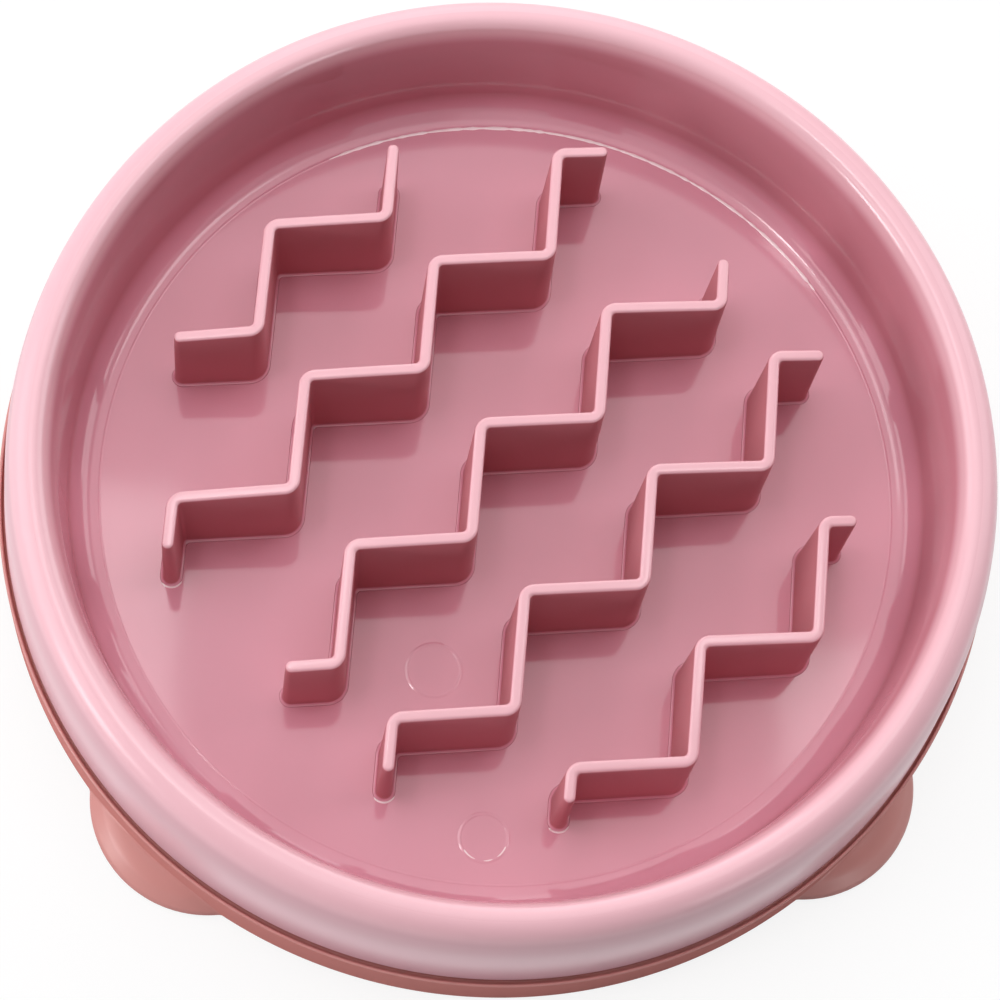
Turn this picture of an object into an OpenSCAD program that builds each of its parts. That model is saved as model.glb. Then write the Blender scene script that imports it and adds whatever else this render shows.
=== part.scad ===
// Slow feeder bowl: a dish with a zigzag maze, on a base ring with four padded feet.
// Millimetres, +Z up, origin at the centre of the table face, -Y is the front.

/* [Rim and wall] */
// Radius of the circle along the top of the rim
crest_r = 103.3; // [96:0.1:112]
// Height of the rim above the table
rim_top = 48.1; // [44:0.1:56]
// Wall thickness of the whole bowl moulding
wall = 2.5; // [1.8:0.1:2.8]
// Edge radius from the crest towards the inside
lip_in_r = 3.1; // [2.9:0.05:3.6]
// Edge radius from the crest towards the outside
lip_out_r = 5.05; // [4:0.05:5.5]
// Lean of the inner wall where the tight lip ends and the long flare starts
flare_in_lean = 20.3; // [16:0.1:26]
// Radius of the long flare inside the bowl
flare_in_r = 33; // [26:0.5:38]
// Lean of the outer side where the tight lip ends and the long flare starts
flare_out_lean = 17.8; // [14:0.1:24]
// Radius of the long flare outside, above the skirt
flare_out_r = 45; // [36:0.5:50]
// Draft of the inner wall
wall_draft = 3.5; // [2:0.1:6]
// Lean of the outer skirt
skirt_lean = 4.9; // [2:0.1:7]

/* [Floor] */
// Height of the eating floor above the table
floor_z = 14; // [12.5:0.1:17]
// Fillet between the floor and the inner wall
floor_fillet = 6.4; // [4:0.1:10]

/* [Maze] */
// Gap from the ends of the ribs to the edge of the flat floor
maze_gap = 11.8; // [8:0.1:16]
// Drop from the rim to the top of the maze at its middle
maze_sink = 3.4; // [1:0.1:8]
// Drop of the crowned rib tops from the middle of the maze to its edge
crown_drop = 4.6; // [0:0.1:8]
// Thickness of a rib at its top
rib_t = 2.6; // [1.8:0.1:3.4]
// Draft of each rib side, from top to foot
rib_draft = 0.5; // [0.2:0.05:1]
// Fillet along the foot of a rib
rib_foot_r = 0.65; // [0.4:0.05:1.2]
// Rounding along the top edges of a rib
rib_edge_r = 0.6; // [0.2:0.05:0.85]
// Rounding on the inside of each zigzag corner
rib_corner_r = 1.1; // [0.6:0.1:2]
// Angle between a rib leg and the run of its zigzag
zig_angle = 40.6; // [32:0.1:46]

/* [Base ring] */
// Height of the skirt's lower edge, where it seats on the base ring
seat_z = 16.3; // [15:0.1:19]
// How far the base ring stands out past the skirt at its lower edge
base_flare = 1.8; // [1:0.05:4]
// Draft of the base ring's wall
base_draft = 1.2; // [0.5:0.1:3]
// Overhang of the skirt past the seat that it rests on
skirt_proud = 0.5; // [0.3:0.1:0.8]
// Depth of the joint line's groove, from the skirt down
groove_h = 2.2; // [1.5:0.1:3]
// Width of the base ring's lip, outside the groove
lip_w = 0.8; // [0.6:0.05:1.2]
// How far the lip stays below the skirt
lip_drop = 0.4; // [0.2:0.05:0.8]
// Wall thickness of the base ring
base_wall = 2.4; // [1.8:0.1:3]
// Height of the collar that stands up inside the skirt
collar_h = 7.7; // [6:0.1:10]
// Radius of the snap bead round the collar
bead_r = 0.6; // [0.4:0.05:0.8]
// Turn of the base ring against the bowl, as it was snapped on
base_turn = 2.25; // [-20:0.05:20]

/* [Feet] */
// Radius of a foot lobe at the table
foot_r = 26.85; // [22:0.05:30]
// How far a lobe reaches out past the base ring
foot_proud = 7.5; // [5:0.1:10]
// Height of a lobe
foot_h = 5.5; // [5:0.1:7]
// Radius of a rubber pad
pad_r = 10; // [8:0.1:10.5]
// Thickness of a rubber pad
pad_t = 3; // [2.4:0.1:3.4]
// How far a pad stands out under its foot
pad_proud = 1; // [0.5:0.1:1.5]

/* [Hidden] */

bowl_colour = "#E6A3AE";
base_colour = "#C98484";
pad_colour = "#B98C8C";

// Clearance of the snap fit and of the pads in their sockets
fit_gap = 0.3;
pad_gap = 0.2;
// Segments in a short arc of a profile, in a corner of a rib and in its end
arc_steps = 8;
corner_steps = 5;
end_steps = 7;
round_fn = 96;

// Points of an arc about [x, y], from angle a0 to a1
function arc(x, y, r, a0, a1, steps) =
    [for (i = [0:steps]) let (a = a0 + (a1 - a0) * i / steps) [x + r * cos(a), y + r * sin(a)]];

// Profile of the rim: lip arcs about the crest, then a long flare on each side.
// A depth of zero gives the skin that shows, and a depth of wall the skin behind it.
lip_in_z = rim_top - lip_in_r;
lip_out_z = rim_top - lip_out_r;
// Centres of the two long flares
flare_in_c = [crest_r + (flare_in_r - lip_in_r) * cos(flare_in_lean),
              lip_in_z - (flare_in_r - lip_in_r) * sin(flare_in_lean)];
flare_out_c = [crest_r - (flare_out_r - lip_out_r) * cos(flare_out_lean),
               lip_out_z - (flare_out_r - lip_out_r) * sin(flare_out_lean)];

// Radius of the straight part of the inner wall at height z
function wall_r(z) = flare_in_c[0] - flare_in_r * cos(wall_draft)
    - (flare_in_c[1] + flare_in_r * sin(wall_draft) - z) * tan(wall_draft);
// Radius of the outside of the skirt at height z
function skirt_r(z) = flare_out_c[0] + flare_out_r * cos(skirt_lean)
    + (flare_out_c[1] + flare_out_r * sin(skirt_lean) - z) * tan(skirt_lean);

// Edge of the flat floor, where the fillet is tangent to it
floor_r = wall_r(floor_z + floor_fillet * (1 - sin(wall_draft))) - floor_fillet * cos(wall_draft);

// Half section of the dish along one skin, from the middle of the floor to the crest
function dish_skin(depth) = concat(
    [[0, floor_z - depth]],
    arc(floor_r, floor_z + floor_fillet, floor_fillet + depth, -90, -wall_draft, arc_steps),
    arc(flare_in_c[0], flare_in_c[1], flare_in_r - depth, 180 - wall_draft, 180 - flare_in_lean, arc_steps),
    arc(crest_r, lip_in_z, lip_in_r - depth, 180 - flare_in_lean, 90, arc_steps));

// Half section of the skirt along one skin, from the crest to the lower edge
function skirt_skin(depth) = concat(
    arc(crest_r, lip_out_z, lip_out_r - depth, 90, flare_out_lean, arc_steps),
    arc(flare_out_c[0], flare_out_c[1], flare_out_r - depth, flare_out_lean, skirt_lean, arc_steps),
    [[skirt_r(seat_z) - depth / cos(skirt_lean), seat_z]]);

function reversed(list) = [for (i = [len(list) - 1:-1:0]) list[i]];

// The snap bead runs round the collar at half its height
bead_z = seat_z + collar_h / 2;
function collar_r(z) = skirt_r(z) - wall / cos(skirt_lean) - fit_gap;

// The dish: floor, wall and the inner half of the rim
module bowl() {
    color(bowl_colour)
        rotate_extrude($fn = round_fn)
            polygon(concat(dish_skin(0), reversed(dish_skin(wall))));
}

// The outer half of the rim and the skirt that hangs from it
module skirt() {
    color(bowl_colour)
        rotate_extrude($fn = round_fn)
            difference() {
                polygon(concat(skirt_skin(0), reversed(skirt_skin(wall))));
                // Groove for the base ring's snap bead
                translate([collar_r(bead_z), bead_z])
                    circle(r = bead_r + fit_gap, $fn = 24);
            }
}

// The maze: five zigzag rows that run from the front left to the back right.
// Row places are shares of the row pitch, and reaches are counts of zigzag legs.
maze_r = floor_r - maze_gap;
maze_turn = 45;
leg_share = 0.331;
pitch_share = 0.4266;
row_place_shares = [1.985, 1.035, 0.005, -0.986, -2.001];
row_reach_shares = [1.66, 3.39, 3.39, 3.39, 2.235];
row_side = [1, -1, 1, -1, 1];

leg = maze_r * leg_share;
row_pitch = maze_r * pitch_share;
// Step of a zigzag along its row, and half of its width across the row
zig_step = leg * cos(zig_angle);
zig_half = leg * sin(zig_angle) / 2;
rib_h = rim_top - maze_sink - floor_z;

// Half width of a rib and the place up its side, from the foot to the top.
// Each level is [half width, height from the foot, share of the crowned height].
side_steps = 3;
rib_levels = concat(
    [for (i = [0:side_steps]) let (a = 90 * i / side_steps)
        [rib_t / 2 + rib_draft + rib_foot_r * (1 - sin(a)), rib_foot_r * (1 - cos(a)), 0]],
    [for (i = [0:side_steps]) let (a = 90 * i / side_steps)
        [rib_t / 2 - rib_edge_r * (1 - cos(a)), rib_edge_r * (sin(a) - 1), 1]]);

// Place of corner i of a row, counted from its middle corner
function corner_side(i, side) = side * (i % 2 == 0 ? 1 : -1);
function corner_at(i, side) = [i * zig_step, zig_half * corner_side(i, side)];
// Place of the end of a row: a share of a leg past its last corner
function row_end(reach, side) =
    let (last = floor(reach), a = corner_at(last, side), b = corner_at(last + 1, side))
    a + (b - a) * (reach - last);

// One side of a row's outline at half width w, from left to right. up is 1 for the
// side away from the viewer and -1 for the other. A corner that points to this side
// has the outer rounding, and one that points away from it has the inner rounding.
function row_side_points(reach, side, w, up) =
    let (last = floor(reach), outer = rib_corner_r + w + rib_t / 2)
    [for (i = [-last:last])
        let (c = corner_at(i, side), s = corner_side(i, side), out = s * up > 0,
             r = out ? outer : rib_corner_r,
             y = out ? c[1] - s * (outer - w) / cos(zig_angle)
                     : c[1] - s * (w + rib_corner_r) / cos(zig_angle))
        each arc(c[0], y, r, s * 90 + s * zig_angle, s * 90 - s * zig_angle, corner_steps)];

// Direction of the last leg of a row, as an angle
function end_angle(reach, side) = -corner_side(floor(reach), side) * zig_angle;

// The same list with its first k entries moved to the end
function turned(list, k) = [for (i = [0:len(list) - 1]) list[(i + k) % len(list)]];

// Closed outline of a row at half width w: far side, right end, near side, left end.
// It starts in the middle of the left end, so that points i and n - 1 - i lie opposite.
function row_outline(reach, side, w) =
    let (e = row_end(reach, side), a = end_angle(reach, side),
         left_end = arc(-e[0], e[1], w, 270 - a, 90 - a, end_steps),
         loop = concat(
             left_end,
             row_side_points(reach, side, w, 1),
             arc(e[0], e[1], w, a + 90, a - 90, end_steps),
             reversed(row_side_points(reach, side, w, -1))))
    turned(loop, len(left_end) / 2);

// Height of the crowned rib tops above the floor at a point of the maze
function crown_h(p) = rib_h - crown_drop * (p[0] * p[0] + p[1] * p[1]) / (maze_r * maze_r);

// Triangles between two rings of n points each, the upper one above the lower one
function band_faces(lower, upper, n) = [for (i = [0:n - 1]) let (j = (i + 1) % n)
    each [[lower + i, lower + j, upper + j], [lower + i, upper + j, upper + i]]];

// Triangles that close a ring of n points, each point joined to the one opposite
function lid_faces(first, n) = [for (i = [0:n / 2 - 2]) let (a = first + i, b = first + n - 1 - i)
    each [[a, a + 1, b - 1], [a, b - 1, b]]];

function flipped(faces) = [for (f = faces) [f[0], f[2], f[1]]];

module maze_rib(row) {
    reach = row_reach_shares[row];
    side = row_side[row];
    place = row_pitch * row_place_shares[row];
    rings = [for (l = rib_levels) [for (p = row_outline(reach, side, l[0]))
        [p[0], p[1] + place, floor_z + l[1] + l[2] * crown_h([p[0], p[1] + place])]]];
    n = len(rings[0]);
    last = len(rings) - 1;
    color(bowl_colour)
        rotate([0, 0, maze_turn])
            polyhedron(
                points = [for (ring = rings) each ring],
                faces = concat(
                    [for (k = [0:last - 1]) each band_faces(k * n, (k + 1) * n, n)],
                    lid_faces(last * n, n),
                    flipped(lid_faces(0, n))));
}

// The base ring: a wall with a rounded lip, a groove that makes the joint line, a seat under
// the skirt, a collar inside the skirt, and four half-round lobes that carry the pads.
seat_r = skirt_r(seat_z) - skirt_proud;
base_r = skirt_r(seat_z) + base_flare;
lip_r = lip_w / 2;
lip_z = seat_z - lip_drop - lip_r;
lip_place = base_wall_r(lip_z) - lip_r;
// The groove is as wide as the space between seat and lip, with a round bottom
groove_z = seat_z - groove_h;
groove_r = (lip_place - lip_r - seat_r) / 2;
base_edge_r = base_wall / 3;
foot_place = base_r + foot_proud - foot_r;
foot_edge_r = foot_h / 3;
foot_rise = foot_h / 5;
// Slanted side of a lobe: as far in as it goes up
foot_top_r = foot_r - (foot_h - foot_rise);
socket_top = pad_t;
core_share = 0.7;
core_r = pad_r * core_share;
pad_place = foot_place + pad_r + pad_gap + base_wall / 2;
foot_angles = [225, 315, 135, 45];

// Radius of the outside of the base ring's wall at height z
function base_wall_r(z) = base_r - (z - pad_proud) * tan(base_draft);

module base_ring_section() {
    shoulder_z = groove_z - base_wall;
    polygon(concat(
        [[base_r - base_wall, pad_proud]],
        arc(base_r - base_edge_r, pad_proud + base_edge_r, base_edge_r, -90, 0, arc_steps),
        arc(lip_place, lip_z, lip_r, 0, 180, 2 * arc_steps),
        arc(seat_r + groove_r, groove_z + groove_r, groove_r, 0, -180, 2 * arc_steps),
        [[seat_r, seat_z],
         [collar_r(seat_z), seat_z],
         [collar_r(seat_z + collar_h), seat_z + collar_h],
         [collar_r(seat_z + collar_h) - base_wall, seat_z + collar_h],
         [collar_r(seat_z) - base_wall, shoulder_z],
         [base_wall_r(shoulder_z) - base_wall, shoulder_z]]));
    // Snap bead
    translate([collar_r(bead_z), bead_z])
        circle(r = bead_r, $fn = 24);
}

// A lobe about its own axis: upright at the table, then slanted, with a rounded top edge
module foot_lobe() {
    tilt = atan2(foot_h - foot_rise, foot_r - foot_top_r);
    turn_in = foot_edge_r * tan(tilt / 2);
    rotate_extrude($fn = round_fn)
        polygon(concat(
            [[0, pad_proud], [foot_r, pad_proud], [foot_r, pad_proud + foot_rise]],
            arc(foot_top_r - turn_in, pad_proud + foot_h - foot_edge_r, foot_edge_r,
                90 - tilt, 90, arc_steps),
            [[0, pad_proud + foot_h]]));
}

module base_ring() {
    color(base_colour)
        rotate([0, 0, base_turn])
            difference() {
                union() {
                    rotate_extrude($fn = round_fn)
                        base_ring_section();
                    difference() {
                        for (a = foot_angles)
                            rotate([0, 0, a])
                                translate([foot_place, 0, 0])
                                    foot_lobe();
                        cylinder(r = foot_place, h = seat_z, $fn = round_fn);
                    }
                }
                for (a = foot_angles)
                    rotate([0, 0, a])
                        translate([pad_place, 0, 0])
                            pad_socket();
            }
}

// Socket for a pad, with a narrower hollow above it that keeps the lobe's wall even
module pad_socket() {
    cylinder(r = pad_r + pad_gap, h = socket_top, $fn = round_fn);
    cylinder(r = core_r, h = pad_proud + foot_h - base_wall * 2 / 3, $fn = round_fn);
}

// A rubber pad with a rounded lower edge
module foot_pad(a) {
    color(pad_colour)
        rotate([0, 0, base_turn + a])
            translate([pad_place, 0, 0])
                rotate_extrude($fn = round_fn)
                    polygon(concat(
                        [[0, 0]],
                        arc(pad_r - pad_proud, pad_proud, pad_proud, -90, 0, arc_steps),
                        [[pad_r, pad_t], [0, pad_t]]));
}

bowl();
skirt();
maze_rib(0);  // maze_rib_1
maze_rib(1);  // maze_rib_2
maze_rib(2);  // maze_rib_3
maze_rib(3);  // maze_rib_4
maze_rib(4);  // maze_rib_5
base_ring();
foot_pad(foot_angles[0]);  // foot_pad_front_left
foot_pad(foot_angles[1]);  // foot_pad_front_right
foot_pad(foot_angles[2]);  // foot_pad_back_left
foot_pad(foot_angles[3]);  // foot_pad_back_right
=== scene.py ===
"""Looks of a slow feeder bowl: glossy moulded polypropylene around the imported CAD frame.

Shapes are worked out in millimetres in the row frame: +Z up, origin at the centre of
the table face, -Y the front. make_piece turns them to metres.
"""

import logging
from dataclasses import dataclass
from enum import Enum
from functools import partial
from math import atan2, cos, degrees, pi, radians, sin, sqrt, tan

import bpy
import numpy as np
from bpy.types import ID, Material, Node, NodeSocket, NodeTree, Object
from mathutils import Matrix


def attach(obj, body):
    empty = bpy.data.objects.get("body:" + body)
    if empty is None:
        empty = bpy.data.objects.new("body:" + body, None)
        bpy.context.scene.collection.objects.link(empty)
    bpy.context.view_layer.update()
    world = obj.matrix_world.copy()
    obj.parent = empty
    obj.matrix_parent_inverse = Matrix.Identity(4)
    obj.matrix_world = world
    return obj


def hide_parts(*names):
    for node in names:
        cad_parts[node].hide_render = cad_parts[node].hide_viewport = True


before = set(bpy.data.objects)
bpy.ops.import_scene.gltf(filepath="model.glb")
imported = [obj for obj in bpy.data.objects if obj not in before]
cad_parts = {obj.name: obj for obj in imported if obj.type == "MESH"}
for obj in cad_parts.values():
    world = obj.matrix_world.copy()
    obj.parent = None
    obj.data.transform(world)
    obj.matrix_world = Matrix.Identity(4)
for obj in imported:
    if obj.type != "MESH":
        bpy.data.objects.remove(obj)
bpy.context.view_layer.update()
MM = 0.001
log = logging.getLogger("slow_feeder_bowl")
# Two numbers, such as (radius, height), and a mesh as its points and groups of faces
Pair = tuple[float, float]
Array = np.ndarray
Mesh = tuple[Array, list[Array]]


# Meshes


def arc(centre: Pair, radius: float, start: float, end: float, steps: int) -> Array:
    """Points of a circular arc: centre plus radius times (cos a, sin a) for a from start to end.

    Args:
        centre: The arc's centre.
        radius: Its radius.
        start: First angle in degrees.
        end: Last angle in degrees.
        steps: How many equal steps the arc is cut into.

    Returns:
        An array of steps + 1 points.
    """
    a = np.radians(np.linspace(start, end, steps + 1))
    return np.stack([centre[0] + radius * np.cos(a), centre[1] + radius * np.sin(a)], axis=-1)


def grid_faces(rows: int, columns: int, close_rows: bool = False) -> Array:
    """Quads of a grid whose columns run round and meet: point (i, j) has index i * columns + j.

    Args:
        rows: Number of rings.
        columns: Number of points round each ring.
        close_rows: True joins the last ring to the first.

    Returns:
        An array of four indices for each quad.
    """
    i = np.arange(rows if close_rows else rows - 1)[:, None]
    j = np.arange(columns)[None, :]
    up, right = (i + 1) % rows, (j + 1) % columns
    corners = [i * columns + j, i * columns + right, up * columns + right, up * columns + j]
    return np.stack([np.broadcast_to(c, (len(i), columns)) for c in corners], axis=-1).reshape(-1, 4)


def fan_faces(pole: int, first: int, columns: int) -> Array:
    """Triangles from a pole to a ring that starts at index first.

    Args:
        pole: Index of the pole.
        first: Index of the ring's first point.
        columns: Number of points round the ring.

    Returns:
        An array of three indices for each triangle.
    """
    j = np.arange(columns)
    return np.stack([np.full(columns, pole), first + j, first + (j + 1) % columns], axis=-1)


def volume(points: Array, faces: list[Array]) -> float:
    """Signed volume inside a closed mesh: the sum over its triangles of a . (b x c) / 6.

    Args:
        points: Array of points.
        faces: Arrays of triangles or quads.

    Returns:
        The volume, negative where the faces point inwards.
    """
    total = 0.0
    for group in faces:
        for k in range(1, group.shape[1] - 1):
            a, b, c = points[group[:, 0]], points[group[:, k]], points[group[:, k + 1]]
            total += float(np.einsum("ij,ij->", a, np.cross(b, c))) / 6
    return total


def make_piece(name: str, points: Array, faces: list[Array]) -> Object:
    """Makes a smooth closed mesh object at the origin, with its faces pointing outwards.

    Args:
        name: Name of the piece.
        points: Array of points in millimetres.
        faces: Arrays of triangles or quads.

    Returns:
        The new object, which rides on the root body.
    """
    if volume(points, faces) < 0:
        faces = [group[:, ::-1] for group in faces]
    mesh = bpy.data.meshes.new(name)
    mesh.from_pydata((points * MM).tolist(), [], [f for group in faces for f in group.tolist()])
    mesh.polygons.foreach_set("use_smooth", np.ones(len(mesh.polygons), dtype=bool))
    mesh.update()
    piece = bpy.data.objects.new(name, mesh)
    bpy.context.scene.collection.objects.link(piece)
    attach(piece, "root")
    log.info("%s: %d points, %d faces", name, len(mesh.vertices), len(mesh.polygons))
    return piece


def lathe(section: Array, columns: int, place: Pair = (0, 0)) -> Mesh:
    """Turns a half section (radius, height) about a vertical axis: (r cos a, r sin a, z).

    A section that starts and ends on the axis is closed by its two poles. Any other is a
    loop, whose last point joins its first.

    Args:
        section: Array of (radius, height) points.
        columns: Points round the axis.
        place: Where the axis stands.

    Returns:
        The points and the groups of faces.
    """
    poles = abs(section[0, 0]) < 1e-9
    rings = section[1:-1] if poles else section
    a = np.linspace(0, 2 * pi, columns, endpoint=False)
    r, z = rings[:, 0, None], rings[:, 1, None]
    points = np.stack([r * np.cos(a), r * np.sin(a), z + 0 * a], axis=-1).reshape(-1, 3)
    faces = [grid_faces(len(rings), columns, close_rows=not poles)]
    if poles:
        ends = np.array([[0, 0, section[0, 1]], [0, 0, section[-1, 1]]])
        last = len(points) - columns
        faces += [fan_faces(len(points), 0, columns)[:, ::-1], fan_faces(len(points) + 1, last, columns)]
        points = np.vstack([points, ends])
    return points + np.array([*place, 0.0]), faces


# Finishes


def linear(colour: str) -> tuple[float, float, float, float]:
    """Linear RGBA of an sRGB hex colour.

    Args:
        colour: A colour such as "#E6A3AE".

    Returns:
        Four linear values, with alpha 1.
    """
    srgb = [int(colour[i : i + 2], 16) / 255 for i in (1, 3, 5)]
    rgb = [c / 12.92 if c <= 0.04045 else ((c + 0.055) / 1.055) ** 2.4 for c in srgb]
    return (*rgb, 1.0)


def add_node(tree: NodeTree, kind: str, settings: dict | None = None, **inputs: object) -> Node:
    """Adds a node, sets its properties and inputs, and links the inputs that are sockets.

    Args:
        tree: The node tree.
        kind: The node's type name, less the ShaderNode that it starts with.
        settings: Properties of the node.
        **inputs: A value or an output socket for each input, by its name with _ for a space,
            or by its number after _.

    Returns:
        The new node.
    """
    node = tree.nodes.new("ShaderNode" + kind)
    for key, value in (settings or {}).items():
        setattr(node, key, value)
    for key, value in inputs.items():
        socket = node.inputs[int(key[1:])] if key[1:].isdigit() else node.inputs[key.replace("_", " ")]
        if isinstance(value, NodeSocket):
            tree.links.new(value, socket)
        else:
            socket.default_value = value
    return node


def new_material(name: str) -> tuple[Material, NodeTree]:
    """An empty node material and its tree.

    Args:
        name: Name of the material.

    Returns:
        The material and its node tree.
    """
    material = bpy.data.materials.new(name)
    material.use_nodes = True
    material.node_tree.nodes.clear()
    return material, material.node_tree


@dataclass(frozen=True)
class MouldedPolypropylene:
    """Polypropylene from a polished mould: glossy, a little wavy, faintly uneven in colour.

    Attributes:
        name: Name of the material.
        colour: Main colour in sRGB hex, as all its colours are.
        cloud_colour: Colour of the faint clouds where the melt cooled unevenly.
        side_colour: Colour of upright faces: painted shade, deeper than the flat faces because less light
            falls on them.
        top_highlight_colour: Paler colour of high edges and tops that look up: a painted highlight where the
            light falls on them.
        outer_shade_colour: Colour of the outside above the foot, or None for side_colour: painted shade,
            milder than side_colour and greyed by a painted reflection.
        foot_reflection_colour: The same near the foot: paler, a painted reflection of the light floor on the
            lower skirt.
        flat_facing: How far a face looks up where it stops being upright and where it is flat.
        top_heights: Heights at which the painted highlight on the tops starts and is full, in millimetres.
        top_facing: The same for how far a face looks up.
        outer_radii: Radii at which the semi-gloss outside starts and is full.
        foot_heights: Heights at which foot_reflection_colour ends and outer_shade_colour starts.
        roughness: Roughness of the polished flat face. Those of the other parts follow it.
        gloss: Specular level of flat faces. side_gloss is that of upright ones.
        cloud_size: Width of the clouds, which come in between the noise levels cloud_spread.
        wave_size: Width of the shallow waves that shrinkage leaves. wave_depth is their depth.
    """

    name: str
    colour: str
    cloud_colour: str
    side_colour: str
    top_highlight_colour: str
    outer_shade_colour: str | None = None
    foot_reflection_colour: str | None = None
    flat_facing: Pair = (0.1, 0.7)
    top_heights: Pair = (40.0, 47.0)
    top_facing: Pair = (0.1, 0.7)
    outer_radii: Pair = (101.0, 105.0)
    foot_heights: Pair = (26.0, 40.0)
    roughness: float = 0.07
    side_roughness: float = 0.14
    top_roughness: float = 0.13
    outer_roughness: float = 0.2
    gloss: float = 0.5
    side_gloss: float = 0.35
    ior: float = 1.49
    cloud_size: float = 45.0
    cloud_spread: Pair = (0.35, 0.65)
    wave_size: float = 14.0
    wave_depth: float = 0.012

    def shares(self, tree: NodeTree) -> dict[str, NodeSocket]:
        """Sockets that say from 0 to 1 how flat, far out or high a point is, and where the painted top
        highlight lies.

        Args:
            tree: The material's node tree.

        Returns:
            The sockets by name.
        """
        add = partial(add_node, tree)
        coords = add("TexCoord").outputs
        place = coords["Object"]
        height = add("SeparateXYZ", Vector=place).outputs["Z"]
        facing = add("SeparateXYZ", Vector=coords["Normal"]).outputs["Z"]
        # The radius is the length of the place with its height taken out
        level = add("VectorMath", {"operation": "MULTIPLY"}, _0=place, _1=(1, 1, 0))
        radius = add("VectorMath", {"operation": "LENGTH"}, _0=level.outputs[0])
        ranges = {
            "flat": (facing, self.flat_facing, 1),
            "upturned": (facing, self.top_facing, 1),
            "high": (height, self.top_heights, MM),
            "above_foot": (height, self.foot_heights, MM),
            "outer": (radius.outputs["Value"], self.outer_radii, MM),
        }
        found = {"place": place}
        smooth = {"interpolation_type": "SMOOTHSTEP"}
        for name, (value, limits, unit) in ranges.items():
            low, high = (limit * unit for limit in limits)
            share = add("MapRange", smooth, Value=value, From_Min=low, From_Max=high)
            found[name] = share.outputs["Result"]
        # The painted highlight lies on high faces that look up: the rim's top and the rib tops
        lit_top = add("Math", {"operation": "MULTIPLY"}, _0=found["high"], _1=found["upturned"])
        found["lit_top"] = lit_top.outputs[0]
        return found

    def tint(self, tree: NodeTree, share: dict[str, NodeSocket]) -> NodeSocket:
        """Colour: painted shade on upright and outer sides, a painted floor reflection near the foot, then
        the clouded flat faces, then a painted highlight on the tops.

        Args:
            tree: The material's node tree.
            share: The sockets of shares.

        Returns:
            The colour's socket.
        """
        add = partial(add_node, tree)
        cloud = add("TexNoise", Vector=share["place"], Scale=1 / (self.cloud_size * MM), Detail=3.0)
        low, high = self.cloud_spread
        clouded = add("MapRange", Value=cloud.outputs["Fac"], From_Min=low, From_Max=high)
        # Upright faces take a painted shade, darker than the flat faces
        side = linear(self.side_colour)
        outer = linear(self.outer_shade_colour or self.side_colour)
        foot = linear(self.foot_reflection_colour or self.side_colour)
        main, second = linear(self.colour), linear(self.cloud_colour)
        rgba = {"data_type": "RGBA"}
        melt = add("Mix", rgba, Factor=clouded.outputs["Result"], _6=main, _7=second)
        # The outside takes a milder painted shade above the foot and a paler painted reflection of the floor
        # near it
        painted_outside = add("Mix", rgba, Factor=share["above_foot"], _6=foot, _7=outer)
        upright = add("Mix", rgba, Factor=share["outer"], _6=side, _7=painted_outside.outputs[2])
        unhighlighted = add("Mix", rgba, Factor=share["flat"], _6=upright.outputs[2], _7=melt.outputs[2])
        # Pale tops and upper edges: a painted highlight where the light falls on them
        lit_top = add("Mix", rgba, Factor=share["lit_top"], _6=unhighlighted.outputs[2], _7=linear(self.top_highlight_colour))
        return lit_top.outputs[2]

    def material(self) -> Material:
        """Builds the node material.

        Returns:
            The material.
        """
        material, tree = new_material(self.name)
        add = partial(add_node, tree)
        share = self.shares(tree)
        # Roughness goes from that of the sides to the flat, then the lit tops, then the semi-gloss outside
        roughness = self.side_roughness
        targets = {"flat": self.roughness, "lit_top": self.top_roughness, "outer": self.outer_roughness}
        for name, target in targets.items():
            step = add("MapRange", Value=share[name], To_Min=roughness, To_Max=target)
            roughness = step.outputs["Result"]
        gloss = add("MapRange", Value=share["flat"], To_Min=self.side_gloss, To_Max=self.gloss)
        waves = add("TexNoise", Vector=share["place"], Scale=1 / (self.wave_size * MM), Detail=1.0)
        bump = add("Bump", Strength=1.0, Distance=self.wave_depth * MM, Height=waves.outputs["Fac"])
        shader = add(
            "BsdfPrincipled",
            Base_Color=self.tint(tree, share),
            Roughness=roughness,
            Specular_IOR_Level=gloss.outputs["Result"],
            IOR=self.ior,
            Normal=bump.outputs["Normal"],
        )
        add("OutputMaterial", Surface=shader.outputs["BSDF"])
        return material


@dataclass(frozen=True)
class MattRubber:
    """Soft thermoplastic rubber: matt, with a fine moulded grain.

    Attributes:
        name: Name of the material.
        colour: Colour in sRGB hex.
        grain: Width of the grain, in millimetres. grain_depth is its depth.
    """

    name: str
    colour: str
    roughness: float = 0.75
    ior: float = 1.5
    grain: float = 0.6
    grain_depth: float = 0.05
    grain_strength: float = 0.6

    def material(self) -> Material:
        """Builds the node material.

        Returns:
            The material.
        """
        material, tree = new_material(self.name)
        add = partial(add_node, tree)
        place = add("TexCoord").outputs["Object"]
        grain = add("TexNoise", Vector=place, Scale=1 / (self.grain * MM), Detail=2.0)
        bump = add(
            "Bump", Strength=self.grain_strength, Distance=self.grain_depth * MM, Height=grain.outputs["Fac"]
        )
        shader = add(
            "BsdfPrincipled",
            Base_Color=linear(self.colour),
            Roughness=self.roughness,
            IOR=self.ior,
            Normal=bump.outputs["Normal"],
        )
        add("OutputMaterial", Surface=shader.outputs["BSDF"])
        return material


def dress(piece: Object, material: Material) -> None:
    """Gives a piece one material.

    Args:
        piece: The piece or CAD node.
        material: Its material.
    """
    piece.data.materials.clear()
    piece.data.materials.append(material)


# The bowl


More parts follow.
